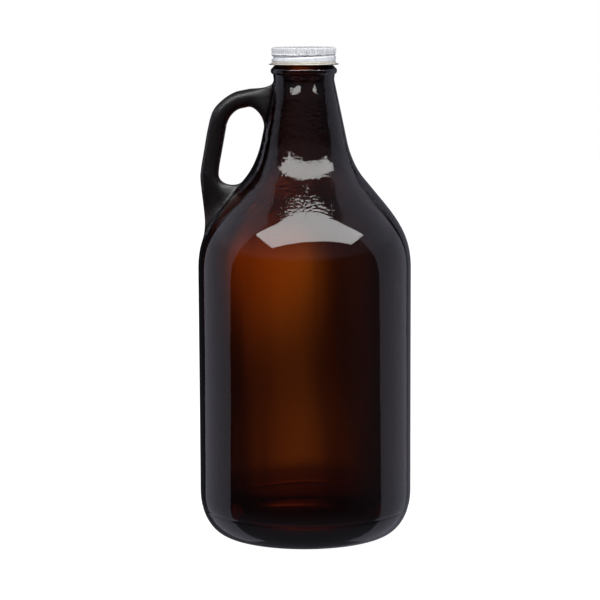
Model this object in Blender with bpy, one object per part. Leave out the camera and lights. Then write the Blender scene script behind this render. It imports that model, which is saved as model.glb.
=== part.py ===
"""Half-gallon glass growler: a jug with a ring handle, and a 38-400 metal screw cap with its liner.

The frame is +Z up along the jug's axis, with the origin at the centre of the base and the handle
towards -X. Lengths are in metres. Each sub-part is one closed solid.
"""

import math

import bmesh
import bpy

MM = 0.001
ROUND_SEGMENTS = 48
CLEARANCE = 0.25 * MM

# Jug body and base.
BODY_RADIUS = 64.5 * MM
HEEL_RADIAL = 17.6 * MM
HEEL_HEIGHT = 26.0 * MM
BEARING_INNER = 42.0 * MM
PUNT_HEIGHT = 6.0 * MM
FLOOR_THICKNESS = 6.0 * MM
WALL = 3.5 * MM

# Shoulder and neck: where each stretch ends, as radius and height.
SHOULDER_FOOT = (BODY_RADIUS, 163.0 * MM)
SLOPE_FOOT = (50.5 * MM, 200.0 * MM)
SLOPE_TOP = (38.8 * MM, 215.0 * MM)
NECK_FOOT = (26.35 * MM, 239.0 * MM)
NECK_TOP = (17.95 * MM, 278.5 * MM)

# 38-400 finish: one raised right-hand thread above a transfer ring.
FINISH_TOP = 295.0 * MM
FINISH_RADIUS = 17.4 * MM
THREAD_RADIUS = 18.55 * MM
THREAD_PITCH = 25.4 / 6 * MM
BORE_RADIUS = 14.5 * MM
LIP_ROUND = 0.7 * MM
RING_CENTRE = (17.9 * MM, 283.0 * MM)
RING_RADIAL = 2.1 * MM
RING_HALF_HEIGHT = 2.2 * MM
RING_COLLAR = (18.5 * MM, 285.6 * MM)

# Screw cap: a thin pressed shell, its rolled thread, and the liner inside its top panel.
CAP_RADIUS = 19.45 * MM
CAP_TOP = 297.0 * MM
CAP_BOTTOM = 286.75 * MM
CAP_SHEET = 0.35 * MM
CAP_CORNER = 0.8 * MM
FLANGE_RADIUS = 21.1 * MM
ROLL_DEPTH = 1.1 * MM
ROLL_HALF_WIDTH = 1.15 * MM
LINER_RADIUS = 18.3 * MM
FACING_THICKNESS = 0.2 * MM

# The helix angles are in degrees about +Z, and -90 is the side towards -Y.
ROLL_MID_HEIGHT = 292.0 * MM
ROLL_MID_ANGLE = -90.0
ROLL_ANGLES = (-400.0, 20.0)
ROLL_FADE = 35.0
THREAD_ABOVE_ROLL = 1.6 * MM
THREAD_ANGLES = (-550.0, -154.0)
THREAD_FADE = 24.0

# Handle: pairs of an outer-edge point and an inner-edge point (x, z), then half the width along Y.
HANDLE_STATIONS = (
    ((-13.0, 279.5), (-13.0, 246.0), 9.5),
    ((-18.6, 278.0), (-23.0, 249.5), 8.8),
    ((-21.4, 275.0), (-25.2, 254.8), 7.4),
    ((-27.0, 272.9), (-28.6, 259.2), 6.5),
    ((-34.0, 272.2), (-34.0, 261.3), 6.2),
    ((-42.0, 270.3), (-39.8, 259.8), 6.2),
    ((-49.6, 265.4), (-44.0, 256.2), 6.2),
    ((-55.2, 258.8), (-46.4, 251.6), 6.2),
    ((-58.3, 248.0), (-47.4, 246.8), 6.2),
    ((-60.4, 236.0), (-49.4, 236.0), 6.2),
    ((-62.0, 227.0), (-51.1, 226.8), 6.3),
    ((-63.0, 219.0), (-51.3, 219.6), 6.5),
    ((-62.2, 212.5), (-48.9, 215.8), 6.9),
    ((-60.3, 206.0), (-45.0, 214.2), 7.4),
    ((-59.1, 199.0), (-40.4, 214.4), 8.0),
    ((-59.3, 191.0), (-35.0, 213.0), 8.4),
    ((-60.6, 183.5), (-33.0, 207.0), 8.0),
    ((-56.0, 178.0), (-32.0, 203.0), 7.0),
)
HANDLE_STEPS = 2
HANDLE_SECTION_POINTS = 12
HANDLE_SQUARENESS = 2.5

AMBER_GLASS = (0.145, 0.052, 0.012, 1.0)
WHITE_ENAMEL = (0.86, 0.87, 0.88, 1.0)
PULPBOARD = (0.62, 0.55, 0.44, 1.0)
WHITE_FILM = (0.90, 0.90, 0.88, 1.0)


def clear_scene():
    for old in list(bpy.data.objects):
        bpy.data.objects.remove(old, do_unlink=True)


def material(name, colour, roughness, metallic=0.0, transmission=0.0):
    made = bpy.data.materials.new(name)
    made.use_nodes = True
    made.diffuse_color = colour
    shader = made.node_tree.nodes["Principled BSDF"]
    shader.inputs["Base Color"].default_value = colour
    shader.inputs["Roughness"].default_value = roughness
    shader.inputs["Metallic"].default_value = metallic
    shader.inputs["Transmission Weight"].default_value = transmission
    return made


def arc(centre, radial, height, start, end, steps):
    """Points along an elliptical arc about centre, from angle start to angle end in degrees."""
    points = []
    for step in range(steps + 1):
        angle = math.radians(start + (end - start) * step / steps)
        points.append((centre[0] + radial * math.cos(angle), centre[1] + height * math.sin(angle)))
    return points


def bend(start, corner, end, fullness, steps):
    """Points along a cubic curve from start to end, whose end tangents meet at corner."""
    first = [a + (c - a) * fullness for a, c in zip(start, corner)]
    second = [b + (c - b) * fullness for b, c in zip(end, corner)]
    points = []
    for step in range(steps + 1):
        t = step / steps
        s = 1.0 - t
        weights = (s**3, 3 * s * s * t, 3 * s * t * t, t**3)
        controls = (start, first, second, end)
        points.append(tuple(sum(w * c[axis] for w, c in zip(weights, controls)) for axis in (0, 1)))
    return points


def crossing(low, low_next, high, high_next):
    """Where the line through low and low_next meets the line through high and high_next."""
    ux, uz = low_next[0] - low[0], low_next[1] - low[1]
    vx, vz = high_next[0] - high[0], high_next[1] - high[1]
    along = ((high[0] - low[0]) * vz - (high[1] - low[1]) * vx) / (ux * vz - uz * vx)
    return (low[0] + ux * along, low[1] + uz * along)


def wall_outline():
    """The outside of the body, shoulder and neck, from the foot of the body's straight side."""
    side_foot = (BODY_RADIUS, HEEL_HEIGHT)
    shoulder_corner = crossing(side_foot, SHOULDER_FOOT, SLOPE_FOOT, SLOPE_TOP)
    neck_corner = crossing(SLOPE_FOOT, SLOPE_TOP, NECK_FOOT, NECK_TOP)
    outline = [side_foot, (BODY_RADIUS, (HEEL_HEIGHT + SHOULDER_FOOT[1]) / 2)]
    outline += bend(SHOULDER_FOOT, shoulder_corner, SLOPE_FOOT, 0.75, 7)
    outline += bend(SLOPE_TOP, neck_corner, NECK_FOOT, 0.62, 6)
    outline.append(NECK_TOP)
    return outline


def inset(outline, distance):
    """The outline moved towards the axis by distance, measured square to its surface."""
    moved = []
    for index, (radius, height) in enumerate(outline):
        before = outline[max(index - 1, 0)]
        after = outline[min(index + 1, len(outline) - 1)]
        run, rise = after[0] - before[0], after[1] - before[1]
        length = math.hypot(run, rise)
        moved.append((radius - distance * rise / length, height + distance * run / length))
    return moved


def jug_outline():
    """The outside of the jug without its handle and thread, from the base's centre to the mouth."""
    bearing_outer = BODY_RADIUS - HEEL_RADIAL
    outline = arc((0.0, 0.0), BEARING_INNER, PUNT_HEIGHT, 90, 0, 6)
    outline += arc((bearing_outer, HEEL_HEIGHT), HEEL_RADIAL, HEEL_HEIGHT, -90, 0, 8)[:-1]
    outline += wall_outline()
    outline += arc(RING_CENTRE, RING_RADIAL, RING_HALF_HEIGHT, -72, 66, 7)
    outline.append(RING_COLLAR)
    outline.append((FINISH_RADIUS, RING_COLLAR[1] + LIP_ROUND))
    lip_centre = (FINISH_RADIUS - LIP_ROUND, FINISH_TOP - LIP_ROUND)
    outline += arc(lip_centre, LIP_ROUND, LIP_ROUND, 0, 90, 3)
    outline.append((0.0, FINISH_TOP))
    return outline


def cavity_outline():
    """The inside of the jug, from the floor's centre up through the mouth."""
    inner_radius = BODY_RADIUS - WALL
    floor_radial = HEEL_RADIAL - WALL / 2
    floor_height = HEEL_HEIGHT - FLOOR_THICKNESS
    floor_edge = (inner_radius - floor_radial, HEEL_HEIGHT)
    outline = arc((0.0, FLOOR_THICKNESS), floor_edge[0], PUNT_HEIGHT, 90, 0, 5)[:-1]
    outline += arc(floor_edge, floor_radial, floor_height, -90, 0, 7)[:-1]
    outline += inset(wall_outline(), WALL)[:-1]
    outline.append((BORE_RADIUS, NECK_TOP[1]))
    mouth_flare = FINISH_TOP - LIP_ROUND
    outline.append((BORE_RADIUS, mouth_flare))
    outline.append((BORE_RADIUS + LIP_ROUND, FINISH_TOP + LIP_ROUND / 4))
    outline.append((0.0, FINISH_TOP + LIP_ROUND / 4))
    return outline


def skin(bm, low, high):
    """Faces between two rings of vertices, either of which may be a single point."""
    count = max(len(low), len(high))
    for index in range(count):
        after = (index + 1) % count
        corners = [low[index % len(low)], low[after % len(low)]]
        corners += [high[after % len(high)], high[index % len(high)]]
        bm.faces.new(list(dict.fromkeys(corners)))


def finished(name, bm, look, origin=(0.0, 0.0, 0.0), smooth_angle=35.0):
    """An object whose closed mesh faces outwards, with its origin at the given place."""
    bmesh.ops.recalc_face_normals(bm, faces=bm.faces)
    bmesh.ops.translate(bm, verts=bm.verts, vec=[-value for value in origin])
    mesh = bpy.data.meshes.new(name)
    bm.to_mesh(mesh)
    bm.free()
    mesh.shade_smooth()
    mesh.set_sharp_from_angle(angle=math.radians(smooth_angle))
    made = bpy.data.objects.new(name, mesh)
    made.location = origin
    if look is not None:
        mesh.materials.append(look)
    bpy.context.scene.collection.objects.link(made)
    return made


def turned(name, outline, look=None, origin=(0.0, 0.0, 0.0)):
    """A solid of revolution about +Z. The outline starts and ends on the axis."""
    bm = bmesh.new()
    rings = []
    for radius, height in outline:
        if radius < MM / 100:
            rings.append([bm.verts.new((0.0, 0.0, height))])
            continue
        ring = []
        for index in range(ROUND_SEGMENTS):
            angle = 2 * math.pi * index / ROUND_SEGMENTS
            ring.append(bm.verts.new((radius * math.cos(angle), radius * math.sin(angle), height)))
        rings.append(ring)
    for low, high in zip(rings, rings[1:]):
        skin(bm, low, high)
    return finished(name, bm, look, origin)


def lofted(name, sections):
    """A solid through a row of sections, each a closed ring of points, with flat ends."""
    bm = bmesh.new()
    rings = [[bm.verts.new(point) for point in section] for section in sections]
    for low, high in zip(rings, rings[1:]):
        skin(bm, low, high)
    bm.faces.new(rings[0])
    bm.faces.new(rings[-1])
    return finished(name, bm, None)


def smooth_between(values, position):
    """The value at a place along a list, on a Catmull-Rom curve through its entries."""
    index = min(int(position), len(values) - 2)
    t = position - index
    last = len(values) - 1
    a, b, c, d = (values[min(max(index + step, 0), last)] for step in (-1, 0, 1, 2))
    return 0.5 * (2 * b + (c - a) * t + (2 * a - 5 * b + 4 * c - d) * t**2 + (3 * b - a - 3 * c + d) * t**3)


def handle_section(position):
    """One closed ring of points round the handle, at a place along its stations."""
    rows = [(*outer, *inner, half) for outer, inner, half in HANDLE_STATIONS]
    columns = [smooth_between(column, position) * MM for column in zip(*rows)]
    outer_x, outer_z, inner_x, inner_z, half_width = columns
    points = []
    for index in range(HANDLE_SECTION_POINTS):
        angle = 2 * math.pi * index / HANDLE_SECTION_POINTS
        across = math.copysign(abs(math.cos(angle)) ** (2 / HANDLE_SQUARENESS), math.cos(angle))
        aside = math.copysign(abs(math.sin(angle)) ** (2 / HANDLE_SQUARENESS), math.sin(angle))
        share = (1 + across) / 2
        x = inner_x + (outer_x - inner_x) * share
        z = inner_z + (outer_z - inner_z) * share
        points.append((x, half_width * aside, z))
    return points


def handle_blank():
    last = (len(HANDLE_STATIONS) - 1) * HANDLE_STEPS
    return lofted("handle_blank", [handle_section(step / HANDLE_STEPS) for step in range(last + 1)])


def roll_height(angle):
    """Height of the middle of the cap's rolled thread at a helix angle in degrees."""
    return ROLL_MID_HEIGHT + THREAD_PITCH * (angle - ROLL_MID_ANGLE) / 360.0


def fade(angle, limits, length):
    """1 along a thread, falling smoothly to 0 over the given length at each end."""
    inside = min(angle - limits[0], limits[1] - angle) / length
    share = min(max(inside, 0.0), 1.0)
    return share * share * (3 - 2 * share)


def thread_blank():
    """The raised glass thread, a helical ridge whose foot is buried in the finish."""
    buried = FINISH_RADIUS - 0.6 * MM
    half_foot = 1.2 * MM
    half_crest = 0.6 * MM
    step_angle = 360.0 / ROUND_SEGMENTS
    start, end = THREAD_ANGLES
    sections = []
    for step in range(round((end - start) / step_angle) + 1):
        angle = start + step * step_angle
        height = roll_height(angle) + THREAD_ABOVE_ROLL
        lowest = buried + 0.3 * MM
        crest = lowest + (THREAD_RADIUS - lowest) * fade(angle, THREAD_ANGLES, THREAD_FADE)
        turn = math.radians(angle)
        corners = ((buried, -half_foot), (crest, -half_crest), (crest, half_crest), (buried, half_foot))
        section = [(r * math.cos(turn), r * math.sin(turn), height + dz) for r, dz in corners]
        sections.append(section)
    return lofted("thread_blank", sections)


def boolean(target, cutter, operation):
    modifier = target.modifiers.new(cutter.name, "BOOLEAN")
    modifier.operation = operation
    modifier.solver = "EXACT"
    modifier.object = cutter
    cutter.hide_render = True
    cutter.display_type = "WIRE"


def build_jug(glass):
    jug = turned("glass_jug", jug_outline(), glass)
    boolean(jug, handle_blank(), "UNION")
    boolean(jug, thread_blank(), "UNION")
    boolean(jug, turned("cavity", cavity_outline()), "DIFFERENCE")
    return jug


def roll_inset(angle, height):
    """How far the cap's sheet is pressed inwards by the rolled thread at a place on its skirt."""
    deepest = 0.0
    for turn in (0, -1):
        helix_angle = math.degrees(angle) + 360.0 * turn
        share = abs(height - roll_height(helix_angle)) / ROLL_HALF_WIDTH
        if share < 1.0:
            press = math.cos(share * math.pi / 2) ** 2 * fade(helix_angle, ROLL_ANGLES, ROLL_FADE)
            deepest = max(deepest, ROLL_DEPTH * press)
    return deepest


def skirt(radius, top, bottom, rings):
    return [(radius, top + (bottom - top) * ring / rings) for ring in range(1, rings)]


def build_cap(enamel):
    """The pressed shell: out over the top panel, down the skirt, round the flange and back up."""
    inner = CAP_RADIUS - CAP_SHEET
    panel_inside = CAP_TOP - CAP_SHEET
    corner = (CAP_RADIUS - CAP_CORNER, CAP_TOP - CAP_CORNER)
    flange_top = CAP_BOTTOM + CAP_SHEET
    skirt_rings = 22
    outline = [(0.0, CAP_TOP)]
    outline += arc(corner, CAP_CORNER, CAP_CORNER, 90, 0, 3)
    outline += skirt(CAP_RADIUS, corner[1], flange_top, skirt_rings)
    outline += [(CAP_RADIUS, flange_top), (FLANGE_RADIUS, flange_top)]
    outline += [(FLANGE_RADIUS, CAP_BOTTOM), (inner, CAP_BOTTOM)]
    outline += skirt(inner, CAP_BOTTOM, corner[1], skirt_rings)
    outline += arc(corner, CAP_CORNER - CAP_SHEET, CAP_CORNER - CAP_SHEET, 0, 90, 2)
    outline.append((0.0, panel_inside))
    bm = bmesh.new()
    rings = []
    for radius, height in outline:
        if radius == 0.0:
            rings.append([bm.verts.new((0.0, 0.0, height))])
            continue
        ring = []
        for index in range(ROUND_SEGMENTS):
            angle = 2 * math.pi * index / ROUND_SEGMENTS - math.pi
            pressed = radius - roll_inset(angle, height) if radius >= inner else radius
            ring.append(bm.verts.new((pressed * math.cos(angle), pressed * math.sin(angle), height)))
        rings.append(ring)
    for low, high in zip(rings, rings[1:]):
        skin(bm, low, high)
    return finished("cap_shell", bm, enamel, (0.0, 0.0, CAP_BOTTOM))


def disc(name, bottom, thickness, look):
    """A flat disc of the liner, with its edges slightly eased."""
    top = bottom + thickness
    ease = thickness / 5
    outline = [(0.0, bottom), (LINER_RADIUS - ease, bottom), (LINER_RADIUS, bottom + ease)]
    outline += [(LINER_RADIUS, top - ease), (LINER_RADIUS - ease, top), (0.0, top)]
    return turned(name, outline, look, (0.0, 0.0, bottom))


def build_liner(board, film):
    facing_bottom = FINISH_TOP + CLEARANCE
    backing_bottom = facing_bottom + FACING_THICKNESS + CLEARANCE
    backing_top = CAP_TOP - CAP_SHEET - CLEARANCE
    facing = disc("liner_facing", facing_bottom, FACING_THICKNESS, film)
    backing = disc("liner_backing", backing_bottom, backing_top - backing_bottom, board)
    return facing, backing


def main():
    clear_scene()
    build_jug(material("amber_glass", AMBER_GLASS, 0.06, transmission=0.9))
    cap = build_cap(material("white_enamel", WHITE_ENAMEL, 0.3))
    board = material("pulpboard", PULPBOARD, 0.85)
    film = material("white_film", WHITE_FILM, 0.35)
    liner_pieces = build_liner(board, film)
    screw_axis = bpy.data.objects.new("cap_screw_axis", None)
    bpy.context.scene.collection.objects.link(screw_axis)
    for moving in (cap, *liner_pieces):
        moving.parent = screw_axis


main()
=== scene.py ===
"""The growler's finished look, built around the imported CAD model: a blown amber-glass jug, its white
enamelled screw cap and the liner inside it, on a pale floor in soft studio light.

Lengths are in metres, in the frame's own axes: +Z up, the handle towards -X.
"""

import math

import bpy
import numpy as np
from mathutils import Matrix, Quaternion, Vector, noise


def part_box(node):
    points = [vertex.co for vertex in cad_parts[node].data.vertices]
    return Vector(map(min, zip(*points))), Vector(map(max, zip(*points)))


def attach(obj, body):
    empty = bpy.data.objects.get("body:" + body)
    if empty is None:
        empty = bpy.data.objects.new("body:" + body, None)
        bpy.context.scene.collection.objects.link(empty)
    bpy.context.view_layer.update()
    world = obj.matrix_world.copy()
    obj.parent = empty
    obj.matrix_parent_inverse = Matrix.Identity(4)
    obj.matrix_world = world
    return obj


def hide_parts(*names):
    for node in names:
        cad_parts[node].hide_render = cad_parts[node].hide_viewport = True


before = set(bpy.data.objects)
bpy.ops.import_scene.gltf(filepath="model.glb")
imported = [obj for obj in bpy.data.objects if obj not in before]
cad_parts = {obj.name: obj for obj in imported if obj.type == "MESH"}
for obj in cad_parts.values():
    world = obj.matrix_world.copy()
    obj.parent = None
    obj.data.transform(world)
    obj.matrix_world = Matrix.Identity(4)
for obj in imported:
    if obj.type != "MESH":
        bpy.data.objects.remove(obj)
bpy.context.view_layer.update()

MM = 0.001

# Sizes read from the frame.
JUG_LOW, JUG_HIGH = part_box("glass_jug")
CAP_LOW, CAP_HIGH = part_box("cap_shell")
BACKING_LOW, BACKING_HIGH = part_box("liner_backing")
FACING_LOW, FACING_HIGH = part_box("liner_facing")
BODY_RADIUS = JUG_HIGH.x
FINISH_TOP = JUG_HIGH.z
CAP_TOP = CAP_HIGH.z
CAP_BOTTOM = CAP_LOW.z
FLANGE_RADIUS = CAP_HIGH.x
LINER_RADIUS = BACKING_HIGH.x

# Jug outline: the CAD jug's curves, with a fuller bend where the shoulder runs into the neck.
HEEL_RADIAL = 17.6 * MM
HEEL_HEIGHT = 26.0 * MM
BEARING_INNER = 42.0 * MM
BEARING_OUTER = BODY_RADIUS - HEEL_RADIAL
PUNT_HEIGHT = 6.0 * MM
FLOOR_THICKNESS = 6.0 * MM
WALL = 3.5 * MM
MOULD_LINE_HEIGHT = 17.0 * MM
MOULD_LINE_WIDTH = 0.7 * MM
MOULD_LINE_DEPTH = 0.2 * MM
INNER_HEEL_HEIGHT = 36.0 * MM
INNER_FLOOR_RADIUS = 43.0 * MM
SHOULDER_FOOT = (BODY_RADIUS, 163.0 * MM)
SHOULDER_FULLNESS = 0.75
SLOPE_FOOT = (48.2 * MM, 203.3 * MM)
SLOPE_TOP = (35.6 * MM, 218.7 * MM)
NECK_FOOT = (25.9 * MM, 240.3 * MM)
NECK_TOP = (17.95 * MM, 278.5 * MM)
NECK_BASE_FULLNESS = 0.62
RING_CENTRE = (17.9 * MM, 283.0 * MM)
RING_RADIAL = 2.1 * MM
RING_HALF_HEIGHT = 2.2 * MM
RING_ANGLES = (-72, 66)
COLLAR = (18.5 * MM, 285.6 * MM)
FINISH_RADIUS = 17.4 * MM
THREAD_RADIUS = 18.55 * MM
BORE_RADIUS = 14.5 * MM
LIP_ROUND = 0.7 * MM

# Rolled thread of the cap and raised thread of the glass, as right-hand helices about +Z.
THREAD_PITCH = 25.4 / 6 * MM
ROLL_MID_HEIGHT = 292.0 * MM
ROLL_MID_ANGLE = -90.0
ROLL_ANGLES = (-400.0, 20.0)
ROLL_FADE = 35.0
THREAD_ABOVE_ROLL = 1.6 * MM
THREAD_ANGLES = (-550.0, -154.0)
THREAD_FADE = 24.0
THREAD_HALF_WIDTH = 1.25 * MM
THREAD_FLATNESS = 1.35

# Where the handle's roots leave the neck and the shoulder, and the bar between them. Each station is
# the bar's outer and inner edge as (x, z), then its half width along Y, in millimetres.
NECK_ROOT = (248.0 * MM, 277.8 * MM)
SHOULDER_ROOT = (181.0 * MM, 216.5 * MM)
NECK_ROOT_ROWS = 30
SHOULDER_ROOT_ROWS = 42
NECK_ROOT_COLUMNS = 10
SHOULDER_ROOT_COLUMNS = 4
HANDLE_STATIONS = (
    ((-34.0, 272.1), (-34.0, 261.3), 6.2),
    ((-42.0, 270.2), (-39.8, 259.8), 6.2),
    ((-49.6, 265.3), (-44.0, 256.2), 6.2),
    ((-55.2, 258.6), (-46.4, 251.6), 6.2),
    ((-58.3, 247.6), (-47.4, 246.8), 6.2),
    ((-60.4, 236.0), (-49.4, 236.0), 6.2),
    ((-62.0, 227.2), (-51.1, 227.0), 6.3),
    ((-62.8, 221.5), (-51.7, 222.0), 6.5),
)


def arc(centre, radial, height, start, end, steps=48):
    """Points along an elliptical arc in the (radius, height) plane, between two angles in degrees."""
    angles = np.radians(np.linspace(start, end, steps + 1))
    return np.stack([centre[0] + radial * np.cos(angles), centre[1] + height * np.sin(angles)], axis=1)


def line(start, end):
    return np.array([start, end], float)


def bend(start, corner, end, fullness, steps=48):
    """Points along a cubic curve from start to end, whose end tangents meet at corner."""
    start, corner, end = (np.array(point, float) for point in (start, corner, end))
    first = start + (corner - start) * fullness
    second = end + (corner - end) * fullness
    t = np.linspace(0.0, 1.0, steps + 1)[:, None]
    s = 1.0 - t
    return s**3 * start + 3 * s * s * t * first + 3 * s * t * t * second + t**3 * end


def crossing(low, low_next, high, high_next):
    """Where the line through low and low_next meets the line through high and high_next."""
    ux, uz = low_next[0] - low[0], low_next[1] - low[1]
    vx, vz = high_next[0] - high[0], high_next[1] - high[1]
    along = ((high[0] - low[0]) * vz - (high[1] - low[1]) * vx) / (ux * vz - uz * vx)
    return (low[0] + ux * along, low[1] + uz * along)


def resampled(points, rows):
    """The curve through points at rows + 1 places, evenly spaced along its length."""
    steps = np.hypot(*np.diff(points, axis=0).T)
    along = np.concatenate([[0.0], np.cumsum(steps)])
    wanted = np.linspace(0.0, along[-1], rows + 1)
    return np.stack([np.interp(wanted, along, points[:, axis]) for axis in (0, 1)], axis=1)


def between_heights(points, low, high):
    """The part of a rising curve between two heights."""
    radii = np.interp([low, high], points[:, 1], points[:, 0])
    inside = points[(points[:, 1] > low) & (points[:, 1] < high)]
    return np.vstack([[(radii[0], low)], inside, [(radii[1], high)]])


def inset(points, distance):
    """The curve moved towards the axis by distance, measured square to it."""
    slope = np.gradient(points, axis=0)
    slope /= np.linalg.norm(slope, axis=1)[:, None]
    return points + distance * np.stack([-slope[:, 1], slope[:, 0]], axis=1)


def wall_curve():
    """The outside of the body, shoulder and neck, from the heel to the transfer ring."""
    side_foot = (BODY_RADIUS, HEEL_HEIGHT)
    shoulder_corner = crossing(side_foot, SHOULDER_FOOT, SLOPE_FOOT, SLOPE_TOP)
    neck_corner = crossing(SLOPE_FOOT, SLOPE_TOP, NECK_FOOT, NECK_TOP)
    side = resampled(line(side_foot, SHOULDER_FOOT), 60)
    shoulder = bend(SHOULDER_FOOT, shoulder_corner, SLOPE_FOOT, SHOULDER_FULLNESS)
    slope = resampled(line(SLOPE_FOOT, SLOPE_TOP), 12)
    neck_base = bend(SLOPE_TOP, neck_corner, NECK_FOOT, NECK_BASE_FULLNESS)
    neck = resampled(line(NECK_FOOT, NECK_TOP), 24)
    return np.vstack([side, shoulder[1:], slope[1:], neck_base[1:], neck[1:]])


def jug_rows():
    """The jug's whole section as rows of (radius, height): up the outside, over the lip and down the
    inside to the floor. Returns the rows and the row numbers where the named stretches start."""
    wall = wall_curve()
    lip = (FINISH_RADIUS - LIP_ROUND, FINISH_TOP - LIP_ROUND)
    bore_edge = (BORE_RADIUS + LIP_ROUND, FINISH_TOP - LIP_ROUND)
    ring = arc(RING_CENTRE, RING_RADIAL, RING_HALF_HEIGHT, *RING_ANGLES)
    collar_foot = (FINISH_RADIUS, COLLAR[1] + LIP_ROUND)
    heel = arc((BEARING_OUTER, HEEL_HEIGHT), HEEL_RADIAL, HEEL_HEIGHT, -90, 0, 96)
    heel[:, 0] -= MOULD_LINE_DEPTH * np.exp(-(((heel[:, 1] - MOULD_LINE_HEIGHT) / MOULD_LINE_WIDTH) ** 2))
    inner_wall = between_heights(inset(wall, WALL), INNER_HEEL_HEIGHT, NECK_TOP[1])
    heel_centre = (INNER_FLOOR_RADIUS, INNER_HEEL_HEIGHT)
    heel_radial = BODY_RADIUS - WALL - INNER_FLOOR_RADIUS
    inner_heel = arc(heel_centre, heel_radial, INNER_HEEL_HEIGHT - FLOOR_THICKNESS, 0, -90)
    stretches = (
        ("punt", arc((0.0, 0.0), BEARING_INNER, PUNT_HEIGHT, 89.9, 0), 24),
        ("bearing", line((BEARING_INNER, 0.0), (BEARING_OUTER, 0.0)), 5),
        ("heel", heel, 84),
        ("side", between_heights(wall, HEEL_HEIGHT, SHOULDER_FOOT[1]), 46),
        ("shoulder", between_heights(wall, SHOULDER_FOOT[1], SHOULDER_ROOT[0]), 12),
        ("shoulder_root", between_heights(wall, *SHOULDER_ROOT), SHOULDER_ROOT_ROWS),
        ("neck_base", between_heights(wall, SHOULDER_ROOT[1], NECK_ROOT[0]), 22),
        ("neck_root", between_heights(wall, *NECK_ROOT), NECK_ROOT_ROWS),
        ("ring_foot", line((np.interp(NECK_ROOT[1], wall[:, 1], wall[:, 0]), NECK_ROOT[1]), ring[0]), 5),
        ("ring", ring, 16),
        ("collar", line(ring[-1], COLLAR), 2),
        ("collar_top", line(COLLAR, collar_foot), 4),
        ("finish", line(collar_foot, (FINISH_RADIUS, lip[1])), 28),
        ("lip", arc(lip, LIP_ROUND, LIP_ROUND, 0, 90), 6),
        ("land", line((lip[0], FINISH_TOP), (bore_edge[0], FINISH_TOP)), 3),
        ("bore_edge", arc(bore_edge, LIP_ROUND, LIP_ROUND, 90, 180), 6),
        ("bore", line((BORE_RADIUS, bore_edge[1]), (BORE_RADIUS, NECK_TOP[1])), 12),
        ("inner_wall", np.vstack([[(BORE_RADIUS, NECK_TOP[1])], inner_wall[::-1][1:]]), 120),
        ("inner_heel", inner_heel, 24),
        ("floor", arc((0.0, FLOOR_THICKNESS), INNER_FLOOR_RADIUS, PUNT_HEIGHT, 0, 89.9), 24),
    )
    rows, starts = [], {}
    for name, points, count in stretches:
        starts[name] = sum(len(part) for part in rows)
        rows.append(resampled(points, count)[:-1])
    rows.append(stretches[-1][1][-1:])
    return np.vstack(rows), starts


COLUMN_STEP = 2.5
SEAM_HALF_ANGLE = 0.3
SEAM_HEIGHT = 0.12 * MM
SEAM_FOOT_ROWS = 6
FRONT = 270.0

# Waviness of the blown glass: each wave's height in millimetres, its size across and along, its seed.
OUTER_WAVES = ((0.10, 30 * MM, 110 * MM, 3.1), (0.025, 7 * MM, 60 * MM, 8.3))
INNER_WAVES = ((0.55, 34 * MM, 80 * MM, 5.7), (0.10, 11 * MM, 70 * MM, 1.9))
INNER_FADE_ROWS = 20

# Shallow dents under the transfer ring: each one's middle and half width in degrees, and its depth.
NECK_DENTS = ((256.0, 13.0, 1.25 * MM), (291.0, 9.0, 1.35 * MM))
NECK_DENT_SINKS = (267.0 * MM, 277.3 * MM)
NECK_DENT_RISES = (277.3 * MM, 280.0 * MM)
# A low swelling round the front of the neck's foot: its heights, the half width in degrees at its foot
# and at its top, and how far it stands out.
FOOT_SWELLING = (196.0 * MM, 212.5 * MM, 243.0 * MM)
FOOT_SWELLING_HALF_ANGLES = (15.0, 45.0)
FOOT_SWELLING_WIDENS = 6.0 * MM
FOOT_SWELLING_LIFT = 0.46 * MM


def column_angles():
    """Column angles in degrees, with a narrow pair beside each of the mould's two parting lines."""
    even = np.arange(0.0, 360.0, COLUMN_STEP)
    seams = [SEAM_HALF_ANGLE, 180 - SEAM_HALF_ANGLE, 180 + SEAM_HALF_ANGLE, 360 - SEAM_HALF_ANGLE]
    return np.sort(np.concatenate([even, seams]))


def smooth_step(value, low, high):
    share = np.clip((value - low) / (high - low), 0.0, 1.0)
    return share * share * (3 - 2 * share)


def wave(points, across, along, seed):
    """Smooth noise at each point, with its grain stretched along the jug's axis."""
    scale = Vector((1 / across, 1 / across, 1 / along))
    shift = Vector((seed, seed * 1.7, -seed))
    return np.array([noise.noise(Vector(point) * scale + shift) for point in points])


def waviness(points, waves):
    """The sum of the given waves at each point, in millimetres."""
    return sum(height * wave(points, across, along, seed) for height, across, along, seed in waves)


def dents(points, angle):
    """How deep the dents under the transfer ring lie at each point."""
    sinks = smooth_step(points[:, 2], *NECK_DENT_SINKS) - smooth_step(points[:, 2], *NECK_DENT_RISES)
    depths = [depth * np.exp(-(((angle - middle) / half) ** 2)) for middle, half, depth in NECK_DENTS]
    return sum(depths) * sinks


def swelling(points, angle):
    """How far the front of the neck's foot stands out at each point."""
    low, top, high = FOOT_SWELLING
    height = smooth_step(points[:, 2], low, top) * (1 - smooth_step(points[:, 2], top, high))
    narrow, wide = FOOT_SWELLING_HALF_ANGLES
    widened = smooth_step(points[:, 2], low, top + FOOT_SWELLING_WIDENS)
    half = narrow + (wide - narrow) * widened
    return FOOT_SWELLING_LIFT * height * np.exp(-(((angle - FRONT) / half) ** 4))


def helix_height(angles, lift):
    """Height of a thread's middle at each helix angle in degrees."""
    return ROLL_MID_HEIGHT + lift + THREAD_PITCH * (angles - ROLL_MID_ANGLE) / 360.0


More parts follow.
